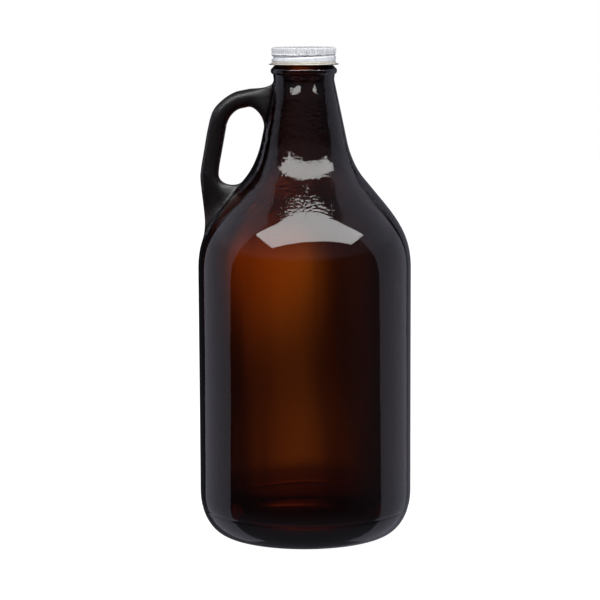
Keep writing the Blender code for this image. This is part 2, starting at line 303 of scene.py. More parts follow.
def thread_form(angles, heights, lift, limits, fade, half_width):
    """How much of a thread's full height stands at each place: 1 on its middle, 0 clear of it."""
    form = np.zeros(np.broadcast(angles, heights).shape)
    for turn in range(-2, 2):
        helix = (angles + 180.0) % 360.0 - 180.0 + 360.0 * turn
        ends = smooth_step(np.minimum(helix - limits[0], limits[1] - helix), 0.0, fade)
        away = np.abs(heights - helix_height(helix, lift)) / half_width
        bump = np.where(away < 1.0, np.cos(np.minimum(away, 1.0) * math.pi / 2) ** 2, 0.0)
        form = np.maximum(form, bump * ends)
    return form


def turned(radius, height, turn):
    """Points on circles about +Z, row by row, from each row's radius and height and the columns' angles."""
    x, y = radius * np.cos(turn), radius * np.sin(turn)
    return np.stack([x, y, np.broadcast_to(height, x.shape)], axis=2).reshape(-1, 3)


def with_poles(points, columns):
    """A lattice's points, then the middle of its first row and the middle of its last."""
    return np.vstack([points, points[:columns].mean(axis=0), points[-columns:].mean(axis=0)])


def closed_faces(rows, columns, skip=()):
    """Quads of a lattice whose points run row by row, leaving out the (row, column) ranges in skip, then
    the triangles that close its first and last rows onto its two poles, by turns."""
    faces = []
    for row in range(rows - 1):
        for column in range(columns):
            if any(r0 <= row < r1 and c0 <= column < c1 for r0, r1, c0, c1 in skip):
                continue
            after = (column + 1) % columns
            low, high = row * columns, (row + 1) * columns
            faces.append((low + column, low + after, high + after, high + column))
    last, first_pole = (rows - 1) * columns, rows * columns
    for column in range(columns):
        after = (column + 1) % columns
        faces.append((after, column, first_pole))
        faces.append((last + column, last + after, first_pole + 1))
    return faces


SKIN = "pressed_skin"


def new_piece(name, vertices, faces, looks, smooth_angle=40.0, skin=None):
    """A mesh object from points and faces, without loose points, shaded smooth, holding the given
    materials. The skin is a weight from 0 to 1 at each point, which a material can read."""
    vertices = np.asarray(vertices, float)
    used = np.unique(np.concatenate([np.array(face) for face in faces]))
    renumber = np.full(len(vertices), -1)
    renumber[used] = np.arange(len(used))
    mesh = bpy.data.meshes.new(name)
    mesh.from_pydata(vertices[used].tolist(), [], [tuple(renumber[list(face)].tolist()) for face in faces])
    mesh.validate()
    if skin is not None:
        mesh.attributes.new(SKIN, "FLOAT", "POINT").data.foreach_set("value", np.asarray(skin)[used])
    mesh.shade_smooth()
    mesh.set_sharp_from_angle(angle=math.radians(smooth_angle))
    piece = bpy.data.objects.new(name, mesh)
    for look in looks:
        mesh.materials.append(look)
    bpy.context.scene.collection.objects.link(piece)
    return piece


def root_loop(first_row, last_row, middle, half, columns, from_top):
    """Vertex numbers round the opening that a handle's root covers, starting at the middle of the edge
    that the handle's outer side runs into, and going to the +Y side first."""
    low, high = middle - half, middle + half
    start, end = (last_row, first_row) if from_top else (first_row, last_row)
    step = 1 if end > start else -1
    loop = [(start, column) for column in range(middle, low, -1)]
    loop += [(row, low) for row in range(start, end, step)]
    loop += [(end, column) for column in range(low, high)]
    loop += [(row, high) for row in range(end, start, -step)]
    loop += [(start, column) for column in range(high, middle, -1)]
    return [row * columns + column for row, column in loop]


HANDLE_SQUARENESS = 2.35
BAR_STEPS = 8
NECK_BLEND_STEPS = 22
SHOULDER_BLEND_STEPS = 30
BAR_PULL_TOP = 14 * MM
BAR_PULL_FOOT = 24 * MM
SKIN_FADE_RINGS = 10

# How far the handle's skin follows the neck and the shoulder at its two roots: on its sides, and how much
# further at its outer and inner edges. The neck's are shares of the gap to the bar, and the shoulder's
# double towards the outer side.
NECK_PULL_SIDE = 0.5
NECK_PULL_EDGE = 0.65
SHOULDER_PULL_SIDE = 10 * MM
SHOULDER_PULL_EDGE = 10 * MM


def unit_section(count):
    """Evenly spaced points round a rounded square of half size 1, as (to the outer side, to +Y)."""
    turn = np.linspace(0.0, 2 * math.pi, 20 * count + 1)
    power = 2 / HANDLE_SQUARENESS
    outline = np.stack([np.sign(f) * np.abs(f) ** power for f in (np.cos(turn), np.sin(turn))], axis=1)
    lengths = np.concatenate([[0.0], np.cumsum(np.linalg.norm(np.diff(outline, axis=0), axis=1))])
    wanted = np.linspace(0.0, lengths[-1], count + 1)[:-1]
    return np.stack([np.interp(wanted, lengths, outline[:, axis]) for axis in (0, 1)], axis=1)


def handle_ring(position, section):
    """The ring of points round the handle's bar at a place along its stations."""
    table = np.array([(*outer, *inner, half) for outer, inner, half in HANDLE_STATIONS]) * MM
    last = len(table) - 1
    index = int(min(max(math.floor(position), 0), last - 1))
    t = position - index
    a, b, c, d = (table[min(max(index + step, 0), last)] for step in (-1, 0, 1, 2))
    if index == 0:
        a = 2 * b - c
    if index == last - 1:
        d = 2 * c - b
    row = 0.5 * (2 * b + (c - a) * t + (2 * a - 5 * b + 4 * c - d) * t**2 + (3 * b - a - 3 * c + d) * t**3)
    share = (1 + section[:, 0:1]) / 2
    outline = row[2:4] + (row[0:2] - row[2:4]) * share
    return np.stack([outline[:, 0], row[4] * section[:, 1], outline[:, 1]], axis=1)


def blended(start, start_pull, end, end_pull, steps):
    """Rings between two rings, on cubic curves that leave and arrive along the given pulls."""
    rings = []
    for step in range(1, steps):
        t = step / steps
        weights = (2 * t**3 - 3 * t**2 + 1, t**3 - 2 * t**2 + t, 3 * t**2 - 2 * t**3, t**3 - t**2)
        between = weights[0] * start + weights[2] * end
        rings.append(between + weights[1] * start_pull + weights[3] * end_pull)
    return rings


def unit(vectors):
    return vectors / np.linalg.norm(vectors, axis=1)[:, None]


def surface_pull(loop_points, normals):
    """Directions that lie in the jug's surface and point to the middle of a root's opening."""
    inward = loop_points.mean(axis=0) - loop_points
    inward -= (inward * normals).sum(axis=1)[:, None] * normals
    return unit(inward)


def handle_rings(neck, shoulder, neck_normals, shoulder_normals):
    """Every ring of the handle between its two roots, from the neck to the shoulder."""
    section = unit_section(len(neck))
    last = len(HANDLE_STATIONS) - 1
    bar = [handle_ring(step / BAR_STEPS, section) for step in range(last * BAR_STEPS + 1)]
    small = 0.02
    leave_bar_start = unit(handle_ring(small, section) - bar[0])
    leave_bar_end = unit(bar[-1] - handle_ring(last - small, section))
    outer_share = (1 + section[:, 0:1]) / 2
    edge_share = section[:, 0:1] ** 2
    reach = np.linalg.norm(bar[0] - neck, axis=1)[:, None]
    neck_reach = reach * (NECK_PULL_SIDE + NECK_PULL_EDGE * edge_share)
    neck_pull = surface_pull(neck, neck_normals) * neck_reach
    top = blended(neck, neck_pull, bar[0], leave_bar_start * BAR_PULL_TOP, NECK_BLEND_STEPS)
    foot_reach = (1 + outer_share) * (SHOULDER_PULL_SIDE + SHOULDER_PULL_EDGE * edge_share)
    shoulder_pull = -surface_pull(shoulder, shoulder_normals) * foot_reach
    foot = blended(bar[-1], leave_bar_end * BAR_PULL_FOOT, shoulder, shoulder_pull, SHOULDER_BLEND_STEPS)
    return top + bar + foot


def jug_lattice():
    """The jug's points row by row, with its blown waviness, swelling, dents, parting lines and thread, then
    its normals, its row starts and its numbers of rows and columns."""
    rows, starts = jug_rows()
    angles = column_angles()
    turn = np.radians(angles)
    points = turned(rows[:, 0:1], rows[:, 1:2], turn)
    slope = np.gradient(rows, axis=0)
    slope /= np.maximum(np.linalg.norm(slope, axis=1), 1e-9)[:, None]
    normal = turned(slope[:, 1:2], -slope[:, 0:1], turn)
    row_number = np.repeat(np.arange(len(rows)), len(angles))
    angle = np.tile(angles, len(rows))
    blown = smooth_step(row_number, starts["heel"], starts["side"])
    blown *= 1 - smooth_step(row_number, starts["neck_root"], starts["ring_foot"])
    inside = smooth_step(row_number, starts["inner_wall"], starts["inner_wall"] + INNER_FADE_ROWS)
    lift = (blown * waviness(points, OUTER_WAVES) + inside * waviness(points, INNER_WAVES)) * MM
    below_ring = row_number < starts["ring"]
    lift += np.where(below_ring, swelling(points, angle) - dents(points, angle), 0.0)
    on_mould = (row_number >= starts["heel"] + SEAM_FOOT_ROWS) & below_ring
    lift += np.where(on_mould & (angle % 180.0 == 0.0), SEAM_HEIGHT, 0.0)
    on_finish = (row_number >= starts["finish"]) & (row_number < starts["lip"])
    helix = (THREAD_ABOVE_ROLL, THREAD_ANGLES, THREAD_FADE, THREAD_HALF_WIDTH)
    form = np.minimum(thread_form(angle, points[:, 2], *helix) * THREAD_FLATNESS, 1.0)
    lift += np.where(on_finish, (THREAD_RADIUS - FINISH_RADIUS) * form, 0.0)
    return points + normal * lift[:, None], normal, starts, len(rows), len(angles)


def build_jug(look):
    points, normals, starts, rows, columns = jug_lattice()
    middle = columns // 2
    neck_rows = (starts["neck_root"], starts["neck_root"] + NECK_ROOT_ROWS)
    shoulder_rows = (starts["shoulder_root"], starts["shoulder_root"] + SHOULDER_ROOT_ROWS)
    neck_half, shoulder_half = NECK_ROOT_COLUMNS + 1, SHOULDER_ROOT_COLUMNS + 1
    neck_loop = root_loop(*neck_rows, middle, neck_half, columns, True)
    shoulder_loop = root_loop(*shoulder_rows, middle, shoulder_half, columns, False)
    holes = (
        (*neck_rows, middle - neck_half, middle + neck_half),
        (*shoulder_rows, middle - shoulder_half, middle + shoulder_half),
    )
    faces = closed_faces(rows, columns, holes)
    roots = (points[loop] for loop in (neck_loop, shoulder_loop))
    root_normals = (normals[loop] for loop in (neck_loop, shoulder_loop))
    rings = handle_rings(*roots, *root_normals)
    jug_points = with_poles(points, columns)
    vertices = np.vstack([jug_points, *rings])
    count = len(neck_loop)
    ring_start = len(jug_points)
    ring_starts = range(ring_start, len(vertices), count)
    numbers = [neck_loop, *(range(start, start + count) for start in ring_starts), shoulder_loop]
    for low, high in zip(numbers, numbers[1:]):
        for k in range(count):
            after = (k + 1) % count
            faces.append((low[k], low[after], high[after], high[k]))
    ring_number = np.arange(len(rings))
    pressed = smooth_step(ring_number, -1, SKIN_FADE_RINGS - 1)
    pressed *= 1 - smooth_step(ring_number, len(rings) - SKIN_FADE_RINGS, len(rings))
    skin = np.concatenate([np.zeros(ring_start), np.repeat(pressed, count)])
    jug = new_piece("jug_glass", vertices, faces, [look], skin=skin)
    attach(jug, "bottle")
    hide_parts("glass_jug")
    return jug


KNURLS = 70
POINTS_PER_KNURL = 6
KNURL_DEPTH = 0.65 * MM
KNURL_HEIGHTS = (CAP_BOTTOM + 6.1 * MM, CAP_TOP + 1.0 * MM)
KNURL_TOP_FADE = 0.75 * MM
KNURL_FOOT_FADE = (-0.05 * MM, 0.35 * MM)
KNURL_DEEPENS_BETWEEN = (-1.5 * MM, 0.5 * MM)
KNURL_DEEPENS = 0.55
KNURL_SHARPNESS = 1.4
KNURL_INNER_SHARE = 0.5
CAP_RADIUS = 19.45 * MM
CAP_SHEET = 0.25 * MM
CAP_CORNER = 0.5 * MM
ROLL_DEPTH = 1.1 * MM
ROLL_HALF_WIDTH = 1.25 * MM
PANEL_RECESS = 0.2 * MM
PANEL_CENTRE = 0.1 * MM
PANEL_RADIUS = 14.2 * MM
STEP_RADIUS = 15.2 * MM
RIM_RADIUS = 16.2 * MM


def cap_rows():
    """The cap's section: out over the top panel, down the skirt, round the flange's edge and back up
    inside. Returns the rows and the row numbers where the named stretches start."""
    corner = (CAP_RADIUS - CAP_CORNER, CAP_TOP - CAP_CORNER)
    knurl_foot = KNURL_HEIGHTS[0]
    panel = CAP_TOP - PANEL_RECESS
    edge = 0.2 * MM
    bead = (CAP_RADIUS - 0.35 * MM, knurl_foot - 0.6 * MM)
    bead_foot = (CAP_RADIUS - 0.05 * MM, CAP_BOTTOM + 2.2 * MM)
    crease = (CAP_RADIUS - 0.3 * MM, CAP_BOTTOM + 1.85 * MM)
    band_top = (CAP_RADIUS, CAP_BOTTOM + 1.6 * MM)
    skirt_foot = CAP_BOTTOM + 0.6 * MM
    flange_top = CAP_BOTTOM + 2 * edge
    flange_start = (CAP_RADIUS + 0.25 * MM, flange_top)
    inner_skirt = CAP_RADIUS - CAP_SHEET
    inner_bead = (bead[0] - CAP_SHEET, bead[1])
    inner_corner = CAP_CORNER - CAP_SHEET
    under_rim = CAP_TOP - CAP_SHEET
    under_panel = panel - CAP_SHEET
    bottom = CAP_BOTTOM
    inner_foot = (inner_skirt - 0.05 * MM, bottom + 1.3 * MM)
    stretches = (
        ("panel", line((PANEL_CENTRE, panel), (PANEL_RADIUS, panel)), 10),
        ("step", bend((PANEL_RADIUS, panel), (STEP_RADIUS, CAP_TOP), (RIM_RADIUS, CAP_TOP), 0.5), 8),
        ("rim", line((RIM_RADIUS, CAP_TOP), (corner[0], CAP_TOP)), 5),
        ("corner", arc(corner, CAP_CORNER, CAP_CORNER, 90, 0), 8),
        ("knurl", line((CAP_RADIUS, corner[1]), (CAP_RADIUS, knurl_foot)), 14),
        ("under_knurl", line((CAP_RADIUS, knurl_foot), bead), 4),
        ("roll", line(bead, bead_foot), 26),
        ("crease", bend(bead_foot, (CAP_RADIUS - 0.05 * MM, crease[1]), crease, 0.4), 3),
        ("skirt", bend(crease, (CAP_RADIUS, crease[1]), band_top, 0.4), 4),
        ("band", line(band_top, (CAP_RADIUS, skirt_foot)), 3),
        ("flare", bend((CAP_RADIUS, skirt_foot), (CAP_RADIUS, flange_top), flange_start, 0.6), 5),
        ("flange", line(flange_start, (FLANGE_RADIUS - edge, flange_top)), 3),
        ("flange_edge", arc((FLANGE_RADIUS - edge, bottom + edge), edge, edge, 90, -90), 6),
        ("underside", line((FLANGE_RADIUS - edge, bottom), (inner_skirt, bottom)), 4),
        ("inner_skirt", line((inner_skirt, bottom), inner_foot), 3),
        ("inner_roll", line(inner_foot, inner_bead), 30),
        ("inner_knurl", line(inner_bead, (inner_skirt - 0.2 * MM, corner[1])), 12),
        ("inner_corner", arc(corner, inner_corner - 0.2 * MM, inner_corner, 0, 90), 4),
        ("inner_rim", line((corner[0], under_rim), (RIM_RADIUS, under_rim)), 4),
        ("inner_step", line((RIM_RADIUS, under_rim), (PANEL_RADIUS, under_panel)), 6),
        ("inner_panel", line((PANEL_RADIUS, under_panel), (PANEL_CENTRE, under_panel)), 8),
    )
    rows, starts = [], {}
    for name, points, count in stretches:
        starts[name] = sum(len(part) for part in rows)
        rows.append(resampled(points, count)[:-1])
    rows.append(stretches[-1][1][-1:])
    return np.vstack(rows), starts


def build_cap(enamel, lacquer, flange_edge_painted_shade):
    rows, starts = cap_rows()
    columns = KNURLS * POINTS_PER_KNURL
    angles = np.arange(columns) * 360.0 / columns
    turn = np.radians(angles)
    heights = rows[:, 1:2]
    number = np.arange(len(rows))[:, None]
    ridge = 0.5 + 0.5 * np.cos(KNURLS * turn)
    foot, top = KNURL_HEIGHTS
    band = smooth_step(heights, foot + KNURL_FOOT_FADE[0], foot + KNURL_FOOT_FADE[1])
    band = band * (1 - smooth_step(heights, top - KNURL_TOP_FADE, top))
    outer = (number >= starts["corner"]) & (number < starts["roll"])
    inner = (number >= starts["inner_knurl"]) & (number < starts["inner_rim"])
    deep_foot = smooth_step(heights, top + KNURL_DEEPENS_BETWEEN[0], foot + KNURL_DEEPENS_BETWEEN[1])
    valley = KNURL_DEPTH * (1 - ridge) ** KNURL_SHARPNESS * band * (1 + KNURL_DEEPENS * deep_foot)
    pressed = valley * outer + KNURL_INNER_SHARE * valley * inner
    rolled = (number >= starts["under_knurl"]) & (number <= starts["crease"])
    rolled |= (number >= starts["inner_roll"]) & (number < starts["inner_knurl"] + 2)
    form = thread_form(angles, heights, 0.0, ROLL_ANGLES, ROLL_FADE, ROLL_HALF_WIDTH)
    pressed = pressed + ROLL_DEPTH * form * rolled
    vertices = with_poles(turned(rows[:, 0:1] - pressed, heights, turn), columns)
    faces = [face[::-1] for face in closed_faces(len(rows), columns)]
    cap = new_piece("cap_enamelled", vertices, faces, [enamel, lacquer, flange_edge_painted_shade], 50.0)
    # Slot 0 is the enamel, slot 1 the lacquer inside and round the foot, slot 2 the flange's edge, painted
    # near black as painted shade.
    slots = np.zeros(len(faces), int)
    row_of_face = np.arange((len(rows) - 1) * columns) // columns
    slots[: len(row_of_face)] = np.where(row_of_face >= starts["skirt"], 1, 0)
    # The flange takes the near-black material, which is painted shade.
    on_flange = (row_of_face >= starts["flange"]) & (row_of_face < starts["inner_skirt"])
    slots[: len(row_of_face)] = np.where(on_flange, 2, slots[: len(row_of_face)])
    slots[len(row_of_face) + 1 :: 2] = 1
    cap.data.polygons.foreach_set("material_index", slots)
    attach(cap, "cap")
    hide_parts("cap_shell")
    return cap


DISC_COLUMNS = 96
DISC_CENTRE = 0.2 * MM
BOARD_DISH = 0.08 * MM
FILM_DISH = 0.05 * MM
LAND_MARK_WIDTH = 1.3 * MM


def disc(name, low, high, look, slot_name, node, dish):
    """A liner disc: rounded at its edge, with the ring that the glass lip presses into its underside."""
    thickness = high - low
    edge = thickness / 2
    radii = np.linspace(DISC_CENTRE, LINER_RADIUS - edge, 60)
    land = (BORE_RADIUS + FINISH_RADIUS) / 2
    pressed = dish * np.exp(-(((radii - land) / LAND_MARK_WIDTH) ** 2))
    under = np.stack([radii, low + pressed], axis=1)
    rim = arc((LINER_RADIUS - edge, low + edge), edge, edge, -90, 90, 8)[1:-1]
    over = np.stack([radii[::-1], np.full(len(radii), high)], axis=1)
    rows = np.vstack([under, rim, over])
    turn = np.radians(np.arange(DISC_COLUMNS) * 360.0 / DISC_COLUMNS)
    vertices = with_poles(turned(rows[:, 0:1], rows[:, 1:2], turn), DISC_COLUMNS)
    piece = new_piece(name, vertices, closed_faces(len(rows), DISC_COLUMNS), [look])
    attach(piece, "liner")
    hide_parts(node)
    return piece


WHITE = (1.0, 1.0, 1.0, 1.0)


def shader_of(name):
    """A new node material, with its tree and its Principled shader."""
    made = bpy.data.materials.new(name)
    made.use_nodes = True
    return made, made.node_tree, made.node_tree.nodes["Principled BSDF"]


def emitter(name):
    """A new material that only gives off light, with its tree and its emission node."""
    made, tree, shader = shader_of(name)
    tree.nodes.remove(shader)
    emission = add(tree, "ShaderNodeEmission", Color=WHITE)
    tree.links.new(emission.outputs["Emission"], tree.nodes["Material Output"].inputs["Surface"])
    return made, tree, emission


def add(tree, kind, **values):
    """A new node, with the given socket values set by socket name."""
    node = tree.nodes.new(kind)
    for key, value in values.items():
        node.inputs[key.replace("_", " ")].default_value = value
    return node


def grain(tree, scale, detail=3.0, roughness=0.5, stretch=(1.0, 1.0, 1.0)):
    """A noise texture in object space, stretched by the given factors."""
    place = tree.nodes.new("ShaderNodeTexCoord")
    mapping = add(tree, "ShaderNodeMapping", Scale=stretch)
    tree.links.new(place.outputs["Object"], mapping.inputs["Vector"])
    made = add(tree, "ShaderNodeTexNoise", Scale=scale, Detail=detail, Roughness=roughness)
    tree.links.new(mapping.outputs["Vector"], made.inputs["Vector"])
    return made.outputs["Fac"]


def ranged(tree, value, low, high, from_low=0.3, from_high=0.7):
    """The value remapped from one range to another."""
    made = tree.nodes.new("ShaderNodeMapRange")
    for key, number in (("From Min", from_low), ("From Max", from_high), ("To Min", low), ("To Max", high)):
        made.inputs[key].default_value = number
    tree.links.new(value, made.inputs["Value"])
    return made.outputs["Result"]


def maths(tree, operation, first, second):
    """A maths node over two values, each a number or a socket."""
    node = tree.nodes.new("ShaderNodeMath")
    node.operation = operation
    for socket, value in zip(node.inputs, (first, second)):
        if isinstance(value, (int, float)):
            socket.default_value = value
        else:
            tree.links.new(value, socket)
    return node.outputs["Value"]


def tinted(tree, shader, value, stops):
    """A colour ramp over the value, through (place, colour) stops, as the shader's base colour."""
    ramp = tree.nodes.new("ShaderNodeValToRGB")
    elements = ramp.color_ramp.elements
    while len(elements) < len(stops):
        elements.new(0.5)
    for element, (place, colour) in zip(elements, stops):
        element.position = place
        element.color = (*colour, 1.0)
    tree.links.new(value, ramp.inputs["Fac"])
    tree.links.new(ramp.outputs["Color"], shader.inputs["Base Color"])


def roughened(tree, shader, value, low, high):
    """The shader's roughness, from low to high as the value grows."""
    tree.links.new(ranged(tree, value, low, high), shader.inputs["Roughness"])


def mixed(tree, factor, first, second):
    """The colour between first and second at the factor, where first is four numbers or a socket."""
    node = tree.nodes.new("ShaderNodeMix")
    node.data_type = "RGBA"
    tree.links.new(factor, node.inputs["Factor"])
    node.inputs["B"].default_value = second
    if isinstance(first, tuple):
        node.inputs["A"].default_value = first
    else:
        tree.links.new(first, node.inputs["A"])
    return node.outputs["Result"]


def bumped(tree, shader, layers):
    """Bumps from (height, strength, distance) layers, chained into the shader's normal."""
    normal = None
    for height, strength, distance in layers:
        bump = add(tree, "ShaderNodeBump", Strength=strength, Distance=distance)
        tree.links.new(height, bump.inputs["Height"])
        if normal is not None:
            tree.links.new(normal, bump.inputs["Normal"])
        normal = bump.outputs["Normal"]
    tree.links.new(normal, shader.inputs["Normal"])


# The glass is polished by the blow mould's smooth body, a little rougher above the heights of
# ROUGH_GLASS, and satin on the pressed handle.
ROUGH_GLASS = (0.196, 0.204)
POLISHED_ROUGHNESS = (0.015, 0.045)
NECK_ROUGHNESS = 0.01
HANDLE_ROUGHNESS = (0.31, 0.39)
GLASS_TINT = (1.0, 0.95, 0.88, 1.0)
GLASS_IOR = 1.52
AMBER = (0.85, 0.535, 0.0, 1.0)
AMBER_DENSITY = 757.0


def amber_glass():
    """Brown bottle glass: clear and glossy, with faint drawn streaks, orange peel above the shoulder and
    a satin handle."""
    made, tree, shader = shader_of("amber_glass")
    shader.inputs["Base Color"].default_value = GLASS_TINT
    shader.inputs["Transmission Weight"].default_value = 1.0
    shader.inputs["IOR"].default_value = GLASS_IOR
    smudges = grain(tree, 28.0, detail=5.0, roughness=0.6)
    place = tree.nodes.new("ShaderNodeTexCoord")
    parts = tree.nodes.new("ShaderNodeSeparateXYZ")
    tree.links.new(place.outputs["Object"], parts.inputs["Vector"])
    rough_height = ranged(tree, parts.outputs["Z"], 0.05, 1.0, *ROUGH_GLASS)
    polished = ranged(tree, smudges, *POLISHED_ROUGHNESS)
    handle = tree.nodes.new("ShaderNodeAttribute")
    handle.attribute_name = SKIN
    satin = maths(tree, "MULTIPLY", handle.outputs["Fac"], ranged(tree, smudges, *HANDLE_ROUGHNESS))
    rough = maths(tree, "ADD", polished, maths(tree, "MULTIPLY", rough_height, NECK_ROUGHNESS))
    rough = maths(tree, "ADD", rough, satin)
    tree.links.new(rough, shader.inputs["Roughness"])
    streaks = grain(tree, 120.0, detail=2.0, stretch=(1.0, 1.0, 0.08))
    peel = grain(tree, 560.0, detail=0.6, roughness=0.4)
    rough_peel = maths(tree, "MULTIPLY", peel, rough_height)
    bumped(tree, shader, [(streaks, 0.1, 0.4 * MM), (rough_peel, 0.62, 0.2 * MM)])
    depth = add(tree, "ShaderNodeVolumeAbsorption", Density=AMBER_DENSITY)
    depth.inputs["Color"].default_value = AMBER
    tree.links.new(depth.outputs["Volume"], tree.nodes["Material Output"].inputs["Volume"])
    return made


def white_enamel():
    """White stoving enamel on tinplate, faintly mottled, with fine orange peel."""
    made, tree, shader = shader_of("white_enamel")
    tone = grain(tree, 160.0, detail=6.0, roughness=0.65)
    tones = ((0.3, (0.74, 0.755, 0.79)), (0.55, (0.87, 0.88, 0.90)), (0.8, (0.92, 0.92, 0.92)))
    tinted(tree, shader, tone, tones)
    roughened(tree, shader, grain(tree, 300.0, detail=4.0), 0.2, 0.36)
    shader.inputs["Coat Weight"].default_value = 0.4
    shader.inputs["Coat Roughness"].default_value = 0.12
    bumped(tree, shader, [(grain(tree, 1400.0, detail=2.0), 0.06, 0.1 * MM)])
    return made


def cream_lacquer():
    """The cream-gold lacquer inside the cap, which wraps over the foot of its skirt."""
    made, tree, shader = shader_of("cream_lacquer")
    tone = grain(tree, 220.0, detail=5.0, stretch=(1.0, 1.0, 3.0))
    tones = ((0.3, (0.60, 0.52, 0.38)), (0.5, (0.80, 0.76, 0.64)), (0.75, (0.86, 0.84, 0.76)))
    tinted(tree, shader, tone, tones)
    shader.inputs["Metallic"].default_value = 0.25
    roughened(tree, shader, grain(tree, 500.0), 0.22, 0.4)
    bumped(tree, shader, [(grain(tree, 1200.0), 0.05, 0.1 * MM)])
    return made


def flange_edge_painted_shade():
    """The dark sheared edge of the tinplate flange: painted shade, near black with faint random mottling.
    """
    made, tree, shader = shader_of("flange_edge_painted_shade")
    tone = grain(tree, 900.0, detail=4.0)
    # Painted shade: these near-black tones stand in for the shade and dark reflection on the flange's thin
    # edge.
    tinted(tree, shader, tone, ((0.3, (0.015, 0.013, 0.012)), (0.8, (0.06, 0.05, 0.045))))
    shader.inputs["Metallic"].default_value = 0.6
    roughened(tree, shader, tone, 0.35, 0.6)
    return made


def pulpboard():
    """Grey-brown pressed pulp with short fibres."""
    made, tree, shader = shader_of("pulpboard")
    fibres = grain(tree, 900.0, detail=6.0, roughness=0.7, stretch=(1.0, 0.25, 1.0))
    tones = ((0.3, (0.40, 0.33, 0.24)), (0.55, (0.60, 0.53, 0.42)), (0.8, (0.72, 0.66, 0.56)))
    tinted(tree, shader, fibres, tones)
    roughened(tree, shader, fibres, 0.8, 0.95)
    bumped(tree, shader, [(fibres, 0.4, 0.15 * MM)])
    return made


def white_film():
    """The liner's white poly film, slightly dimpled by the board behind it."""
    made, tree, shader = shader_of("white_film")
    tone = grain(tree, 500.0, detail=4.0)
    tinted(tree, shader, tone, ((0.3, (0.82, 0.82, 0.78)), (0.7, (0.92, 0.92, 0.90))))
    roughened(tree, shader, tone, 0.25, 0.42)
    bumped(tree, shader, [(tone, 0.15, 0.1 * MM)])
    return made


CAMERA_DISTANCE = 1.4375
CAMERA_HEIGHT = 0.3374
CAMERA_PITCH = 7.67
CAMERA_ROLL = -0.24
CAMERA_LENS = 142.8
CAMERA_ASIDE = -2.9 * MM


def build_camera():
    data = bpy.data.cameras.new("camera")
    data.sensor_width = 36.0
    data.lens = CAMERA_LENS
    camera = bpy.data.objects.new("camera", data)
    bpy.context.scene.collection.objects.link(camera)
    camera.rotation_mode = "XYZ"
    pitch = Matrix.Rotation(math.radians(90 - CAMERA_PITCH), 4, "X")
    roll = Matrix.Rotation(math.radians(CAMERA_ROLL), 4, "Z")
    place = Matrix.Translation((CAMERA_ASIDE, -CAMERA_DISTANCE, CAMERA_HEIGHT))
    camera.matrix_world = place @ pitch @ roll
    bpy.context.scene.camera = camera
    return camera


FLOOR_SIDE = 6.0
DARK_ROOM = (0.012, 0.012, 0.015, 1.0)
DIM_ROOM = (0.17, 0.165, 0.2, 1.0)

# How far the room goes from dark to dim, as (from direction, to direction) and (from share, to share):
# towards +X, downwards, upwards, and towards the front as light that comes back through the glass.
SIDE_DIRECTIONS, SIDE_SHARES = (0.45, 0.95), (0.0, 0.35)
BELOW_DIRECTIONS, BELOW_SHARES = (-0.8, -0.12), (0.85, 0.0)
ABOVE_DIRECTIONS, ABOVE_SHARES = (0.25, 0.36), (0.0, 0.85)
FRONT_DIRECTIONS, FRONT_SHARES = (-0.2, 0.5), (1.0, 0.0)

# A ray that has crossed both of the jug's walls has passed at least four of its surfaces.
BOTH_WALLS = 3.5


def build_floor():
    """A plain pale floor that the camera sees, but that throws nothing back into the glass."""
    bpy.ops.mesh.primitive_plane_add(size=FLOOR_SIDE, location=(0.0, 0.0, JUG_LOW.z))
    floor = bpy.context.object
    floor.name = "studio_floor"
    made, tree, shader = shader_of("studio_floor")
    tinted(tree, shader, grain(tree, 3.0), ((0.3, (0.3, 0.3, 0.3)), (0.7, (0.32, 0.32, 0.32))))
    shader.inputs["Roughness"].default_value = 0.9
    shader.inputs["Specular IOR Level"].default_value = 0.0
    shader.inputs["Emission Color"].default_value = WHITE
    shader.inputs["Emission Strength"].default_value = 1.0
    floor.data.materials.append(made)
    floor.visible_transmission = False
    floor.visible_glossy = False
    floor.visible_diffuse = False


def build_world():
    """White where the camera looks straight at it. In reflections it is a dark room, a little lighter
    below, above and to the right. Through the jug it is dark too, apart from a dim light in front."""
    world = bpy.data.worlds.new("studio")
    bpy.context.scene.world = world
    world.use_nodes = True
    tree = world.node_tree
    place = tree.nodes.new("ShaderNodeTexCoord")
    towards = tree.nodes.new("ShaderNodeSeparateXYZ")
    tree.links.new(place.outputs["Generated"], towards.inputs["Vector"])
    seen = tree.nodes.new("ShaderNodeLightPath")
    reflected = maths(tree, "SUBTRACT", 1.0, seen.outputs["Is Transmission Ray"])
    side = ranged(tree, towards.outputs["X"], *SIDE_SHARES, *SIDE_DIRECTIONS)
    below = ranged(tree, towards.outputs["Z"], *BELOW_SHARES, *BELOW_DIRECTIONS)
    above = ranged(tree, towards.outputs["Z"], *ABOVE_SHARES, *ABOVE_DIRECTIONS)
    lighter = maths(tree, "MAXIMUM", above, maths(tree, "MAXIMUM", side, below))
    front = ranged(tree, towards.outputs["Y"], *FRONT_SHARES, *FRONT_DIRECTIONS)
    through_jug = maths(tree, "GREATER_THAN", seen.outputs["Transmission Depth"], BOTH_WALLS)
    lit_glass = maths(tree, "MULTIPLY", front, through_jug)
    shown = maths(tree, "MAXIMUM", maths(tree, "MULTIPLY", lighter, reflected), lit_glass)
    strength = maths(tree, "MAXIMUM", reflected, lit_glass)
    tree.links.new(strength, tree.nodes["Background"].inputs["Strength"])
    room = mixed(tree, shown, DARK_ROOM, DIM_ROOM)
    colour = mixed(tree, seen.outputs["Is Camera Ray"], room, WHITE)
    tree.links.new(colour, tree.nodes["Background"].inputs["Color"])


PANEL_BLUE = (0.83, 0.83, 1.0)
